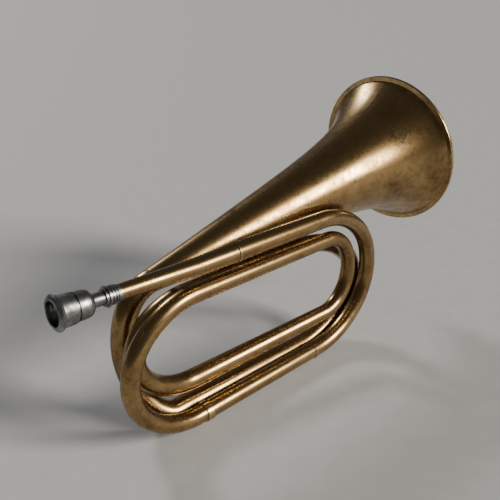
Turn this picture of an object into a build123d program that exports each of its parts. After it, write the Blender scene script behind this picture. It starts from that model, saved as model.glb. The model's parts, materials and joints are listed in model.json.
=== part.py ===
from build123d import *
from math import cos, exp, pi, radians, sin
import os

# A coiled bugle, in millimetres. The origin is the centre of the bell mouth.
# +X runs along the straight tubes towards the bell, +Y from the front coil to the rear one,
# and +Z up, from the bottom tubes to the leadpipe.

# Layers: the front coil, the middle coil, and the bell behind them at Y = 0.
FRONT_Y = -42.0
MIDDLE_Y = -25.5
WALL = 0.8
FIT = 0.05
GAP = 0.4
BOW_STEPS = 6

# Bell: a long cone that opens into a flare, with its axis rising towards the mouth.
BELL_RISE = 9.35
BELL_LENGTH = 307.0
BELL_MOUTH_R = 74.3
BELL_THROAT_R = 9.3
BELL_CONE = 0.116
FLARE_RUN = 38.0
STEM_LENGTH = 160.0
BELL_STEPS = 14
RIM_FLAT = 1.4
RIM_BULGE = 0.5
RIM_WIDTH = 3.0

# Mouthpiece: distances run along its axis from the rim.
RIM_X = -401.2
RIM_Z = -24.2
RIM_R = 12.0
CUP_OUTER_R = 10.6
CUP_BORE_R = 8.3
CUP_DEPTH = 9.8
CUP_LENGTH = 12.4
GROOVE_WIDTH = 2.0
GROOVE_R = 8.7
THROAT_R = 2.0
SPIGOT_R = 6.4
SPIGOT_DEPTH = 1.6
BODY_R = 9.6
BODY_END = 25.8
SHANK_R = 4.7
SHANK_SHOWN = 33.6
SHANK_END = 59.0
SHANK_END_R = 4.1

# Receiver: a socket with turned rings.
RECEIVER_START = SHANK_SHOWN + GAP
RECEIVER_END = 45.4
RECEIVER_R = 5.9
RINGS = [(36.2, 7.2, 0.8), (38.8, 6.6, 0.8), (40.9, 6.6, 0.8), (42.8, 6.4, 0.7)]

# Leadpipe and tuning slide, in the front layer.
LEADPIPE_START = 43.4
LEADPIPE_R = 5.5
SLIDE_Z = -28.2
UPPER_RING_X = -254.0
UPPER_BEND_R = 6.9
SOCKET_LENGTH = 38.0
SLIDE_SOCKET_R = 6.25
UPPER_TUBE_R = 7.6
SLIDE_BOW_R = 7.4
SLIDE_BOW_X = -154.0
SLIDE_BOW_REACH = 72.0
LOWER_RING_X = -159.5
INNER_TUBE_IN = 34.0
INNER_TUBE_HELD = 5.0
BOTTOM_Z = -155.2

# Front coil.
REAR_BOW_X = -294.5
REAR_JOINT_X = -289.0
REAR_BOW_REACH = 59.0
REAR_BOW_R = 7.1
INNER_TOP_Z = -48.5
INNER_BOW_X = -145.5
INNER_BOW_REACH = 33.0
INNER_BOW_R = 6.7
INNER_BOTTOM_Z = -120.8

# Middle coil.
MIDDLE_R = 8.2
MIDDLE_LEFT_X = -283.5
MIDDLE_LEFT_Z = -133.2
MIDDLE_LEFT_REACH = 53.0
MIDDLE_TOP_X = -287.5
MIDDLE_TOP_Z = -56.2
MIDDLE_RIGHT_X = -158.5
MIDDLE_RIGHT_REACH = 75.0
MIDDLE_BOTTOM_Z = -156.0
OUTER_LEFT_X = -303.0
OUTER_LEFT_Y = -23.5
OUTER_LEFT_REACH = 30.0
OUTER_LEFT_SHIFT = 0.63

# Ferrules and braces.
FERRULE_WIDTH = 2.0
FERRULE_HEIGHT = 0.7
BAND_WIDTH = 7.0
BAND_HEIGHT = 0.85
BRACE_R = 2.4
LEADPIPE_BRACE_AT = 102.0
BELL_BRACE_X = -221.0
LEFT_BRACE_X = -268.0
RIGHT_BRACE_X = -178.0

BELL_DIR = Vector(cos(radians(BELL_RISE)), 0, sin(radians(BELL_RISE)))
RIM = Vector(RIM_X, FRONT_Y, RIM_Z)
PIPE_BEND = Vector(UPPER_RING_X - SOCKET_LENGTH, FRONT_Y, SLIDE_Z)
PIPE_DIR = (PIPE_BEND - RIM).normalized()
PIPE_LENGTH = (PIPE_BEND - RIM).length


def front(x, z):
    """A point in the front layer."""
    return Vector(x, FRONT_Y, z)


def middle(x, z):
    """A point in the middle layer."""
    return Vector(x, MIDDLE_Y, z)


def cone_between(start, end, r_start, r_end):
    """A solid round bar from start to end, of radius r_start tapering to r_end."""
    length = (end - start).length
    place = Plane(origin=start, z_dir=end - start) * Pos(0, 0, length / 2)
    if r_start == r_end:
        return place * Cylinder(r_start, length)
    return place * Cone(r_start, r_end, length)


def straight_tube(start, end, r_start, r_end):
    """A straight tube with an even wall."""
    outer = cone_between(start, end, r_start, r_end)
    return outer - cone_between(start, end, r_start - WALL, r_end - WALL)


def bow_path(start, end, reach, shift=1.0, start_dir=None, end_dir=None):
    """The centre line of a half-oval bow, reaching out by reach along X between its two ends.

    A bow that changes layer has moved across after the fraction shift of its turn."""
    points = []
    for step in range(BOW_STEPS + 1):
        turn = pi * step / BOW_STEPS
        along = (1 - cos(turn)) / 2
        across = min(1.0, step / BOW_STEPS / shift)
        across = across * across * (3 - 2 * across)
        x = start.X + (end.X - start.X) * along + reach * sin(turn)
        y = start.Y + (end.Y - start.Y) * across
        z = start.Z + (end.Z - start.Z) * along
        points.append(Vector(x, y, z))
    outward = Vector(1 if reach > 0 else -1, 0, 0)
    ends = [start_dir or outward, end_dir or -outward]
    return Spline(*points, tangents=ends, tangent_scalars=[1, 1])


def round_bow(start, end, reach):
    """The centre line of a flat bow made of three tangent arcs, a tight one between two wide ones."""
    way = 1 if reach > 0 else -1
    down = 1 if end.Z > start.Z else -1
    half = abs(end.Z - start.Z) / 2
    side = sin(radians(45))
    wide = (side * abs(reach) - (1 - side) * half) / (2 * side - 1)
    shoulder = Vector(way * wide * side, 0, down * wide * (1 - side))
    nose = Vector(way * abs(reach), 0, down * half)
    sag = Vector(way * sin(radians(22.5)), 0, down * (1 - cos(radians(22.5)))) * wide
    first = ThreePointArc(start, start + sag, start + shoulder)
    back = Vector(shoulder.X, 0, -shoulder.Z)
    middle_arc = ThreePointArc(start + shoulder, start + nose, end + back)
    last = ThreePointArc(end + back, end + Vector(sag.X, 0, -sag.Z), end)
    return [first.edge(), middle_arc.edge(), last.edge()]


def bow_tube(path, radius, bore=None):
    """A bent tube of even size along path, closed from its outer and inner walls."""
    place = Plane(origin=path @ 0, z_dir=path % 0)
    outer = sweep(place * Circle(radius), path=path)
    inner = sweep(place * Circle(bore or radius - WALL), path=path)
    walls = [face for face in outer.faces() + inner.faces() if face.geom_type != GeomType.PLANE]
    for end in outer.faces().filter_by(GeomType.PLANE):
        hole = inner.faces().filter_by(GeomType.PLANE).sort_by_distance(end.center())[0]
        walls.append(Face(end.outer_wire(), [hole.outer_wire()]))
    return Part([Solid(Shell(walls))])


def turned(points, origin, direction):
    """A closed outline of (distance, radius) points, turned about an axis."""
    outline = make_face(Polyline(*[(x, r) for x, r in points], close=True))
    solid = revolve(outline, Axis.X)
    place = Plane(origin=origin, x_dir=direction, z_dir=Vector(0, -1, 0))
    return place * solid


def pipe_at(distance):
    """The point on the mouthpiece axis at a distance from the rim."""
    return RIM + PIPE_DIR * distance


def shank_radius(distance):
    """The outer radius of the tapered shank."""
    part = (distance - BODY_END) / (SHANK_END - BODY_END)
    return SHANK_R + (SHANK_END_R - SHANK_R) * part


def mouthpiece_cup():
    """The rim and the cup, down to the groove, with a hole for the throat piece's spigot."""
    outer = [(0.9, RIM_R - 0.6), (1.9, RIM_R), (2.9, RIM_R - 0.4), (3.8, CUP_OUTER_R)]
    outer += [(CUP_LENGTH, CUP_OUTER_R - 0.4)]
    outer += [(CUP_LENGTH, SPIGOT_R), (CUP_LENGTH - SPIGOT_DEPTH, SPIGOT_R)]
    bowl = []
    for step in range(7):
        turn = radians(15 * step)
        bowl.append((CUP_DEPTH * cos(turn), max(THROAT_R + 0.6, CUP_BORE_R * sin(turn))))
    outer += [(CUP_LENGTH - SPIGOT_DEPTH, THROAT_R + 0.6)]
    return turned(outer + bowl + [(0.0, RIM_R - 2.2)], RIM, PIPE_DIR)


def mouthpiece_shank():
    """The rounded throat piece and the tapered shank, bored through."""
    body_start = CUP_LENGTH + GROOVE_WIDTH
    outline = [(CUP_LENGTH - SPIGOT_DEPTH, THROAT_R), (CUP_LENGTH - SPIGOT_DEPTH, SPIGOT_R)]
    outline += [(CUP_LENGTH, SPIGOT_R), (CUP_LENGTH, GROOVE_R), (body_start, GROOVE_R)]
    outline += [(body_start, BODY_R), (body_start + 5.5, BODY_R - 0.2)]
    for step in range(1, 6):
        turn = radians(18 * step)
        x = body_start + 5.5 + (BODY_END - body_start - 5.5) * sin(turn)
        outline.append((x, SHANK_R + (BODY_R - 0.2 - SHANK_R) * cos(turn)))
    outline += [(SHANK_END, SHANK_END_R), (SHANK_END, SHANK_END_R - 0.7)]
    return turned(outline, RIM, PIPE_DIR)


def leadpipe_radius(distance):
    """The outer radius of the conical leadpipe, before its bend."""
    part = (distance - LEADPIPE_START) / (PIPE_LENGTH - LEADPIPE_START)
    return LEADPIPE_R + (UPPER_BEND_R - LEADPIPE_R) * part


def receiver():
    """The ringed socket. Its bore follows the shank's taper with running clearance."""
    outline = [(RECEIVER_START, shank_radius(RECEIVER_START) + FIT), (RECEIVER_START, RECEIVER_R)]
    for centre, radius, width in RINGS:
        outline += [(centre - width / 2, RECEIVER_R), (centre - width / 4, radius)]
        outline += [(centre + width / 4, radius), (centre + width / 2, RECEIVER_R)]
    outline += [(RECEIVER_END, RECEIVER_R), (RECEIVER_END, leadpipe_radius(RECEIVER_END))]
    outline += [(LEADPIPE_START, LEADPIPE_R), (LEADPIPE_START, shank_radius(LEADPIPE_START) + FIT)]
    return turned(outline, RIM, PIPE_DIR)


def leadpipe():
    """The conical leadpipe, ending in a parallel socket for the tuning slide."""
    clear = SHANK_END + 1.0
    start = pipe_at(LEADPIPE_START)
    end = front(UPPER_RING_X, SLIDE_Z)
    along = Vector(1, 0, 0)
    stations = [(start, PIPE_DIR, LEADPIPE_R), (PIPE_BEND, PIPE_DIR + along, UPPER_BEND_R)]
    stations.append((end, along, UPPER_TUBE_R))
    pipe = loft([Plane(origin=at, z_dir=way) * Circle(radius) for at, way, radius in stations], ruled=True)
    mouth_r = shank_radius(LEADPIPE_START) + FIT
    clear_r = shank_radius(clear) + FIT
    pipe -= cone_between(start, pipe_at(clear), mouth_r, clear_r)
    pipe -= cone_between(pipe_at(clear), PIPE_BEND + PIPE_DIR, clear_r, UPPER_BEND_R - WALL)
    return pipe - cone_between(PIPE_BEND, end, SLIDE_SOCKET_R, SLIDE_SOCKET_R)


def slide_leg():
    """The long upper leg of the tuning slide, whose bore grips the inner tube."""
    start = front(UPPER_RING_X + GAP, SLIDE_Z)
    end = front(SLIDE_BOW_X, SLIDE_Z)
    leg = cone_between(start, end, UPPER_TUBE_R, SLIDE_BOW_R)
    return leg - cone_between(start, end, SLIDE_SOCKET_R - FIT, SLIDE_SOCKET_R - FIT)


def inner_tube(ring_x, z):
    """A slide's inner tube: held in the moving leg and running in the fixed one."""
    start = front(ring_x - INNER_TUBE_IN, z)
    end = front(ring_x + GAP + INNER_TUBE_HELD, z)
    radius = SLIDE_SOCKET_R - FIT
    return straight_tube(start, end, radius, radius)


def slide_bow():
    """The outer right bow, with a short parallel lower leg."""
    bottom = front(SLIDE_BOW_X, BOTTOM_Z)
    bow = round_bow(front(SLIDE_BOW_X, SLIDE_Z), bottom, SLIDE_BOW_REACH)
    leg = Line(bottom, front(LOWER_RING_X + GAP, BOTTOM_Z))
    return bow_tube(Wire([*bow, leg.edge()]), SLIDE_BOW_R, SLIDE_SOCKET_R - FIT)


def bottom_outer_tube():
    """The fixed bottom tube, bored out at its right end for the slide's inner tube."""
    right = front(LOWER_RING_X, BOTTOM_Z)
    left = front(REAR_JOINT_X, BOTTOM_Z)
    socket_end = front(LOWER_RING_X - SOCKET_LENGTH, BOTTOM_Z)
    tube = cone_between(right, left, SLIDE_BOW_R, REAR_BOW_R)
    tube -= cone_between(right, socket_end, SLIDE_SOCKET_R, SLIDE_SOCKET_R)
    bore = REAR_BOW_R - WALL
    return tube - cone_between(right, left, bore, bore)


def front_left_bow():
    """The front left bow, with a short straight end under the band."""
    bottom = front(REAR_BOW_X, BOTTOM_Z)
    bow = round_bow(bottom, front(REAR_BOW_X, INNER_TOP_Z), -REAR_BOW_REACH)
    stub = Line(front(REAR_JOINT_X, BOTTOM_Z), bottom)
    return bow_tube(Wire([stub.edge(), *bow]), REAR_BOW_R)


def ring(centre_x, z, radius, width, height):
    """A turned ring around a tube of the front layer, with chamfered edges."""
    edge = height * 0.6
    outline = [(-width / 2, radius), (-width / 2, radius + height - edge)]
    outline += [(edge - width / 2, radius + height), (width / 2 - edge, radius + height)]
    outline += [(width / 2, radius + height - edge), (width / 2, radius)]
    return turned(outline, front(centre_x, z), Vector(1, 0, 0))


def bell_radius(distance):
    """The bell's outer radius at a distance from its small end."""
    cone = BELL_THROAT_R + BELL_CONE * distance
    flare = BELL_MOUTH_R - BELL_THROAT_R - BELL_CONE * BELL_LENGTH
    return cone + flare * exp((distance - BELL_LENGTH) / FLARE_RUN)


def bell_section(start, end, steps):
    """A turned length of the bell between two distances from its small end."""
    outer = []
    inner = []
    for step in range(steps + 1):
        distance = start + (end - start) * step / steps
        outer.append((distance - BELL_LENGTH, bell_radius(distance)))
        inner.append((distance - BELL_LENGTH, bell_radius(distance) - WALL))
    sides = [Spline(*outer), Spline(*inner), Line(outer[0], inner[0]), Line(outer[-1], inner[-1])]
    solid = revolve(make_face([side.edge() for side in sides]), Axis.X)
    place = Plane(origin=(0, 0, 0), x_dir=BELL_DIR, z_dir=Vector(0, -1, 0))
    return place * solid


def bell_rim_wire():
    """The rolled rim: a bead around the mouth with a flat front face."""
    top = BELL_MOUTH_R + RIM_FLAT
    outline = [(0.0, BELL_MOUTH_R)]
    for step in range(7):
        turn = radians(30 * step)
        outline.append((RIM_WIDTH / 2 * (cos(turn) - 1), top + RIM_BULGE * sin(turn)))
    outline.append((-RIM_WIDTH, bell_radius(BELL_LENGTH - RIM_WIDTH)))
    return turned(outline, Vector(0, 0, 0), BELL_DIR)


def bell_axis(x):
    """The point on the bell's axis at x."""
    return BELL_DIR * (x / BELL_DIR.X)


def brace(start, end, *tubes):
    """A short round post between two tubes, shaped to sit on both of them."""
    post = cone_between(start, end, BRACE_R, BRACE_R)
    for tube in tubes:
        post -= tube
    return post


def straight_parts():
    """The plain straight tubes of the coil, each tapering between its bows."""
    inner_left = middle(MIDDLE_LEFT_X, MIDDLE_LEFT_Z)
    inner_right = front(INNER_BOW_X, INNER_BOTTOM_Z)
    top_left = front(REAR_BOW_X, INNER_TOP_Z)
    top_right = front(INNER_BOW_X, INNER_TOP_Z)
    middle_left = middle(MIDDLE_TOP_X, MIDDLE_TOP_Z)
    middle_right = middle(MIDDLE_RIGHT_X, MIDDLE_TOP_Z)
    bottom_right = middle(MIDDLE_RIGHT_X, MIDDLE_BOTTOM_Z)
    bottom_left = Vector(OUTER_LEFT_X, OUTER_LEFT_Y, MIDDLE_BOTTOM_Z)
    return {
        "inner_top_tube": straight_tube(top_left, top_right, REAR_BOW_R, INNER_BOW_R),
        "inner_bottom_tube": straight_tube(inner_right, inner_left, INNER_BOW_R, MIDDLE_R),
        "middle_top_tube": straight_tube(middle_left, middle_right, MIDDLE_R, MIDDLE_R),
        "middle_bottom_tube": straight_tube(bottom_right, bottom_left, MIDDLE_R, BELL_THROAT_R),
    }


def coil_bows():
    """The bent tubes of the inner and middle coils."""
    run = (middle(MIDDLE_LEFT_X, MIDDLE_LEFT_Z) - front(INNER_BOW_X, INNER_BOTTOM_Z)).normalized()
    inner_right = bow_path(front(INNER_BOW_X, INNER_TOP_Z), front(INNER_BOW_X, INNER_BOTTOM_Z),
                           INNER_BOW_REACH, end_dir=run)
    middle_left = bow_path(middle(MIDDLE_LEFT_X, MIDDLE_LEFT_Z), middle(MIDDLE_TOP_X, MIDDLE_TOP_Z),
                           -MIDDLE_LEFT_REACH, start_dir=run)
    middle_right = round_bow(middle(MIDDLE_RIGHT_X, MIDDLE_TOP_Z),
                             middle(MIDDLE_RIGHT_X, MIDDLE_BOTTOM_Z), MIDDLE_RIGHT_REACH)
    outer_left = bow_path(Vector(OUTER_LEFT_X, OUTER_LEFT_Y, MIDDLE_BOTTOM_Z), BELL_DIR * -BELL_LENGTH,
                          -OUTER_LEFT_REACH, shift=OUTER_LEFT_SHIFT, end_dir=BELL_DIR)
    return {
        "inner_right_bow": bow_tube(inner_right, INNER_BOW_R),
        "middle_left_bow": bow_tube(middle_left, MIDDLE_R),
        "middle_right_bow": bow_tube(Wire(middle_right), MIDDLE_R),
        "outer_left_bow": bow_tube(outer_left, BELL_THROAT_R),
    }


def braces():
    """Soldered posts between the leadpipe, the coils and the bell."""
    stem_start = BELL_DIR * -BELL_LENGTH
    stem_end = BELL_DIR * (STEM_LENGTH - BELL_LENGTH)
    stem = cone_between(stem_start, stem_end, bell_radius(0), bell_radius(STEM_LENGTH))
    pipe = cone_between(RIM, PIPE_BEND, leadpipe_radius(0), UPPER_BEND_R)
    top = cone_between(front(REAR_BOW_X, INNER_TOP_Z), front(INNER_BOW_X, INNER_TOP_Z),
                       REAR_BOW_R, INNER_BOW_R)
    second = cone_between(middle(MIDDLE_TOP_X, MIDDLE_TOP_Z), middle(MIDDLE_RIGHT_X, MIDDLE_TOP_Z),
                          MIDDLE_R, MIDDLE_R)
    bottom = cone_between(front(LOWER_RING_X, BOTTOM_Z), front(REAR_JOINT_X, BOTTOM_Z),
                          SLIDE_BOW_R, REAR_BOW_R)
    under_end = Vector(OUTER_LEFT_X, OUTER_LEFT_Y, MIDDLE_BOTTOM_Z)
    under = cone_between(middle(MIDDLE_RIGHT_X, MIDDLE_BOTTOM_Z), under_end, MIDDLE_R, BELL_THROAT_R)
    held = pipe_at(LEADPIPE_BRACE_AT)
    found = {"leadpipe_brace": brace(held, bell_axis(held.X), pipe, stem)}
    found["bell_brace"] = brace(middle(BELL_BRACE_X, MIDDLE_TOP_Z), bell_axis(BELL_BRACE_X), second, stem)
    for side, x in (("left", LEFT_BRACE_X), ("right", RIGHT_BRACE_X)):
        found[f"top_{side}_brace"] = brace(front(x, INNER_TOP_Z), middle(x, MIDDLE_TOP_Z), top, second)
        found[f"bottom_{side}_brace"] = brace(front(x, BOTTOM_Z), middle(x, MIDDLE_BOTTOM_Z), bottom, under)
    return found


parts = {
    "mouthpiece_cup": mouthpiece_cup(),
    "mouthpiece_shank": mouthpiece_shank(),
    "mouthpiece_receiver": receiver(),
    "leadpipe": leadpipe(),
    "upper_slide_ferrule": ring(UPPER_RING_X - 1.0, SLIDE_Z, UPPER_TUBE_R, FERRULE_WIDTH, FERRULE_HEIGHT),
    "upper_slide_leg": slide_leg(),
    "upper_slide_inner_tube": inner_tube(UPPER_RING_X, SLIDE_Z),
    "outer_right_bow": slide_bow(),
    "lower_slide_inner_tube": inner_tube(LOWER_RING_X, BOTTOM_Z),
    "lower_slide_ferrule": ring(LOWER_RING_X - 1.0, BOTTOM_Z, SLIDE_BOW_R, FERRULE_WIDTH, FERRULE_HEIGHT),
    "bottom_outer_tube": bottom_outer_tube(),
    "rear_bow_ferrule": ring(REAR_JOINT_X + 1.5, BOTTOM_Z, REAR_BOW_R + FIT, BAND_WIDTH, BAND_HEIGHT),
    "front_left_bow": front_left_bow(),
    "bell_stem": bell_section(0, STEM_LENGTH, BELL_STEPS),
    "bell_flare": bell_section(STEM_LENGTH, BELL_LENGTH, BELL_STEPS),
    "bell_rim_wire": bell_rim_wire(),
}
parts.update(straight_parts())
parts.update(coil_bows())
parts.update(braces())

os.makedirs("parts", exist_ok=True)
for name, part in parts.items():
    export_step(part, f"parts/{name}.step")
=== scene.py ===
import json
from math import radians

import bpy
from mathutils import Matrix, Vector


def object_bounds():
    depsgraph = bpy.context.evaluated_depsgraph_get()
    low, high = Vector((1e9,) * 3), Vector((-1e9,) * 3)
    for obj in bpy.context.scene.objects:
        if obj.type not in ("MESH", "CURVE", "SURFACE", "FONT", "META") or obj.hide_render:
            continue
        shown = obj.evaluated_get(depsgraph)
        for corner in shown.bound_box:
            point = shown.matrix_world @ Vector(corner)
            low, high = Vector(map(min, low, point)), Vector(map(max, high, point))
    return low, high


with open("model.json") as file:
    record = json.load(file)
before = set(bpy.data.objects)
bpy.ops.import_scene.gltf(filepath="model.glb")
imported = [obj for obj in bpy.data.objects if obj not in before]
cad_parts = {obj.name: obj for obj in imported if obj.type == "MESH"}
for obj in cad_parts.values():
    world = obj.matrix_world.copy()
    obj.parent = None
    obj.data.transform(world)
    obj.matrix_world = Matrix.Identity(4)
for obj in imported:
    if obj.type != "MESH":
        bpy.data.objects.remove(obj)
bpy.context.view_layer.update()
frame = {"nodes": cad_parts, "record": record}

# Camera: level, looking down at the bugle from the mouthpiece end.
CAMERA_AT = Vector((-0.5342, -0.3474, 0.1495))
CAMERA_RIGHT = Vector((0.7193, -0.6947, 0.0))
CAMERA_UP = Vector((0.2714, 0.2811, 0.9205))
CAMERA_BACK = Vector((-0.6395, -0.6621, 0.3907))
LENS_MM = 43.46
SENSOR_MM = 36.0

# Floor: its side, and the two greys its grain runs between.
FLOOR_SIZE = 600.0
FLOOR_DARK = (0.47, 0.47, 0.47)
FLOOR_LIGHT = (0.5, 0.5, 0.5)

# Lights: each comes from this direction, seen from the bugle. Strengths are in watts per square
# metre, and the angles are the width in degrees of the light's face in the sky.
KEY_FROM = Vector((0.42, -0.81, 0.42))
KEY_STRENGTH = 4.8
KEY_ANGLE = 20
KEY_COLOUR = (1.0, 0.95, 0.86)
BACK_FROM = Vector((0.11, 0.8, 0.59))
BACK_STRENGTH = 1.2
BACK_ANGLE = 12
BACK_COLOUR = (0.97, 0.98, 1.0)
SURROUND_COLOUR = (0.5, 0.5, 0.5, 1.0)
SURROUND_STRENGTH = 0.17

# Metals: brass as clean, tarnished and darkest colour, and the roughness of its clean parts.
BODY_BRASS = ((0.36, 0.24, 0.105), (0.2, 0.118, 0.05), (0.065, 0.035, 0.017), 0.17)
TRIM_BRASS = ((0.54, 0.39, 0.195), (0.32, 0.21, 0.092), (0.1, 0.057, 0.027), 0.14)
SILVER_DARK = (0.08, 0.079, 0.078)
SILVER_GREY = (0.2, 0.2, 0.2)
SILVER_LIGHT = (0.34, 0.34, 0.335)
SILVER_PITS = (0.1, 0.095, 0.09)


class Nodes:
    """Short calls for building one material's node tree."""

    def __init__(self, name):
        self.material = bpy.data.materials.new(name)
        self.material.use_nodes = True
        self.tree = self.material.node_tree
        self.tree.nodes.clear()
        self.coords = self.add("ShaderNodeTexCoord").outputs["Object"]

    def add(self, kind, **settings):
        node = self.tree.nodes.new(kind)
        for key, value in settings.items():
            setattr(node, key, value)
        return node

    def link(self, source, target):
        self.tree.links.new(source, target)

    def stretched(self, scale):
        """Object coordinates scaled by a different amount along each axis."""
        mapping = self.add("ShaderNodeMapping")
        mapping.inputs["Scale"].default_value = scale
        self.link(self.coords, mapping.inputs["Vector"])
        return mapping.outputs["Vector"]

    def noise(self, scale, detail=4.0, rough=0.55, vector=None, distortion=0.0):
        node = self.add("ShaderNodeTexNoise")
        node.inputs["Scale"].default_value = scale
        node.inputs["Detail"].default_value = detail
        node.inputs["Roughness"].default_value = rough
        node.inputs["Distortion"].default_value = distortion
        self.link(vector or self.coords, node.inputs["Vector"])
        return node.outputs["Fac"]

    def ramp(self, value, stops):
        node = self.add("ShaderNodeValToRGB")
        elements = node.color_ramp.elements
        elements[0].position, elements[0].color = stops[0][0], (*stops[0][1], 1.0)
        elements[1].position, elements[1].color = stops[-1][0], (*stops[-1][1], 1.0)
        for position, colour in stops[1:-1]:
            element = elements.new(position)
            element.color = (*colour, 1.0)
        self.link(value, node.inputs["Fac"])
        return node.outputs["Color"]

    def spread(self, value, low, high, out_low, out_high):
        """The value's range low to high turned into out_low to out_high."""
        node = self.add("ShaderNodeMapRange")
        node.inputs["From Min"].default_value = low
        node.inputs["From Max"].default_value = high
        node.inputs["To Min"].default_value = out_low
        node.inputs["To Max"].default_value = out_high
        self.link(value, node.inputs["Value"])
        return node.outputs["Result"]

    def total(self, first, second):
        """The sum of two linked values."""
        node = self.add("ShaderNodeMath", operation="ADD")
        self.link(first, node.inputs[0])
        self.link(second, node.inputs[1])
        return node.outputs["Value"]

    def put(self, socket, value):
        """Sets a number or a colour on a socket, or links another node's output to it."""
        if isinstance(value, float):
            socket.default_value = value
        elif isinstance(value, tuple):
            socket.default_value = (*value, 1.0)
        else:
            self.link(value, socket)

    def mix(self, factor, first, second):
        node = self.add("ShaderNodeMix", data_type="RGBA")
        self.put(node.inputs["Factor"], factor)
        self.put(node.inputs["A"], first)
        self.put(node.inputs["B"], second)
        return node.outputs["Result"]

    def bump(self, height, strength, distance, normal=None):
        node = self.add("ShaderNodeBump")
        node.inputs["Strength"].default_value = strength
        node.inputs["Distance"].default_value = distance
        self.link(height, node.inputs["Height"])
        if normal:
            self.link(normal, node.inputs["Normal"])
        return node.outputs["Normal"]

    def finish(self, colour, roughness, normal, metallic=1.0):
        shader = self.add("ShaderNodeBsdfPrincipled")
        self.link(colour, shader.inputs["Base Color"])
        self.link(roughness, shader.inputs["Roughness"])
        self.link(normal, shader.inputs["Normal"])
        shader.inputs["Metallic"].default_value = metallic
        output = self.add("ShaderNodeOutputMaterial")
        self.link(shader.outputs["BSDF"], output.inputs["Surface"])
        return self.material


def aged_brass(name, clean, tarnish, deep, gloss):
    """Old brass: cloudy tarnish, brown freckles, rubbed bright patches and fine scratches."""
    n = Nodes(name)
    clouds = n.noise(34.0, 5.0, 0.6, distortion=0.4)
    mottle = n.noise(210.0, 5.0, 0.62)
    freckle = n.noise(620.0, 3.0, 0.5)
    scratches = n.noise(1.0, 3.0, 0.7, n.stretched((260.0, 2600.0, 2600.0)))
    cloudy = n.ramp(clouds, [(0.28, deep), (0.42, tarnish), (0.6, clean)])
    mottled = n.ramp(mottle, [(0.36, tarnish), (0.56, clean)])
    colour = n.mix(0.45, cloudy, mottled)
    spots = n.spread(freckle, 0.62, 0.72, 0.0, 0.75)
    colour = n.mix(spots, colour, deep)
    rubbed = n.spread(scratches, 0.5, 0.8, 0.0, 0.35)
    colour = n.mix(rubbed, colour, clean)
    rough = n.spread(clouds, 0.3, 0.7, gloss + 0.13, gloss)
    rough = n.total(rough, n.spread(mottle, 0.35, 0.7, 0.07, -0.02))
    rough = n.total(rough, n.spread(spots, 0.0, 0.75, 0.0, 0.22))
    dents = n.noise(16.0, 2.0, 0.4)
    normal = n.bump(scratches, 0.06, 0.00005)
    normal = n.bump(mottle, 0.08, 0.0002, normal)
    normal = n.bump(dents, 0.25, 0.0005, normal)
    return n.finish(colour, rough, normal)


def silver_plate():
    """Satin silver plate with grey tarnish in clouds and turning marks round it."""
    n = Nodes("silver_plate")
    clouds = n.noise(120.0, 5.0, 0.6)
    turning = n.noise(1.0, 2.0, 0.6, n.stretched((5200.0, 160.0, 160.0)))
    pits = n.noise(900.0, 2.0, 0.5)
    colour = n.ramp(clouds, [(0.32, SILVER_DARK), (0.5, SILVER_GREY), (0.66, SILVER_LIGHT)])
    spots = n.spread(pits, 0.64, 0.74, 0.0, 0.7)
    colour = n.mix(spots, colour, SILVER_PITS)
    rough = n.spread(clouds, 0.3, 0.7, 0.4, 0.25)
    rough = n.total(rough, n.spread(turning, 0.3, 0.7, 0.0, 0.08))
    normal = n.bump(turning, 0.12, 0.00005)
    normal = n.bump(clouds, 0.12, 0.0002, normal)
    return n.finish(colour, rough, normal)


def floor_material():
    """A plain pale sweep with barely visible unevenness."""
    n = Nodes("pale_floor")
    grain = n.noise(60.0, 3.0, 0.5)
    colour = n.ramp(grain, [(0.3, FLOOR_DARK), (0.7, FLOOR_LIGHT)])
    rough = n.spread(grain, 0.3, 0.7, 0.75, 0.85)
    normal = n.bump(grain, 0.05, 0.0005)
    return n.finish(colour, rough, normal, metallic=0.0)


def paint_nodes():
    """Gives each CAD node its own finish by the slot the record names."""
    finishes = {
        "aged_brass": aged_brass("aged_brass", *BODY_BRASS),
        "brass_trim": aged_brass("brass_trim", *TRIM_BRASS),
        "silver_plate": silver_plate(),
    }
    slots = {part["node"]: part["material_slot"] for part in frame["record"]["subparts"]}
    for name, obj in frame["nodes"].items():
        obj.data.materials.clear()
        obj.data.materials.append(finishes[slots[name]])
        for polygon in obj.data.polygons:
            polygon.use_smooth = True


def add_floor():
    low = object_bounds()[0]
    bpy.ops.mesh.primitive_plane_add(size=FLOOR_SIZE, location=(0, 0, low[2]))
    floor = bpy.context.object
    floor.name = "floor"
    floor.data.materials.append(floor_material())


def add_sun(name, direction, strength, angle, colour):
    """A soft light from a direction, even over the whole floor."""
    data = bpy.data.lights.new(name, "SUN")
    data.energy = strength
    data.angle = radians(angle)
    data.color = colour
    light = bpy.data.objects.new(name, data)
    light.rotation_euler = (-direction).to_track_quat("-Z", "Y").to_euler()
    bpy.context.scene.collection.objects.link(light)


def add_lights():
    """A soft key from the front right, a weaker light behind the bell, and a dim even surround."""
    add_sun("key", KEY_FROM, KEY_STRENGTH, KEY_ANGLE, KEY_COLOUR)
    add_sun("back", BACK_FROM, BACK_STRENGTH, BACK_ANGLE, BACK_COLOUR)
    world = bpy.data.worlds.new("studio")
    world.use_nodes = True
    background = world.node_tree.nodes["Background"]
    background.inputs["Color"].default_value = SURROUND_COLOUR
    background.inputs["Strength"].default_value = SURROUND_STRENGTH
    bpy.context.scene.world = world


def add_camera():
    data = bpy.data.cameras.new("camera")
    data.lens = LENS_MM
    data.sensor_width = SENSOR_MM
    camera = bpy.data.objects.new("camera", data)
    rotation = Matrix((CAMERA_RIGHT, CAMERA_UP, CAMERA_BACK)).transposed().to_4x4()
    camera.matrix_world = Matrix.Translation(CAMERA_AT) @ rotation
    bpy.context.scene.collection.objects.link(camera)
    bpy.context.scene.camera = camera


paint_nodes()
add_floor()
add_lights()
add_camera()
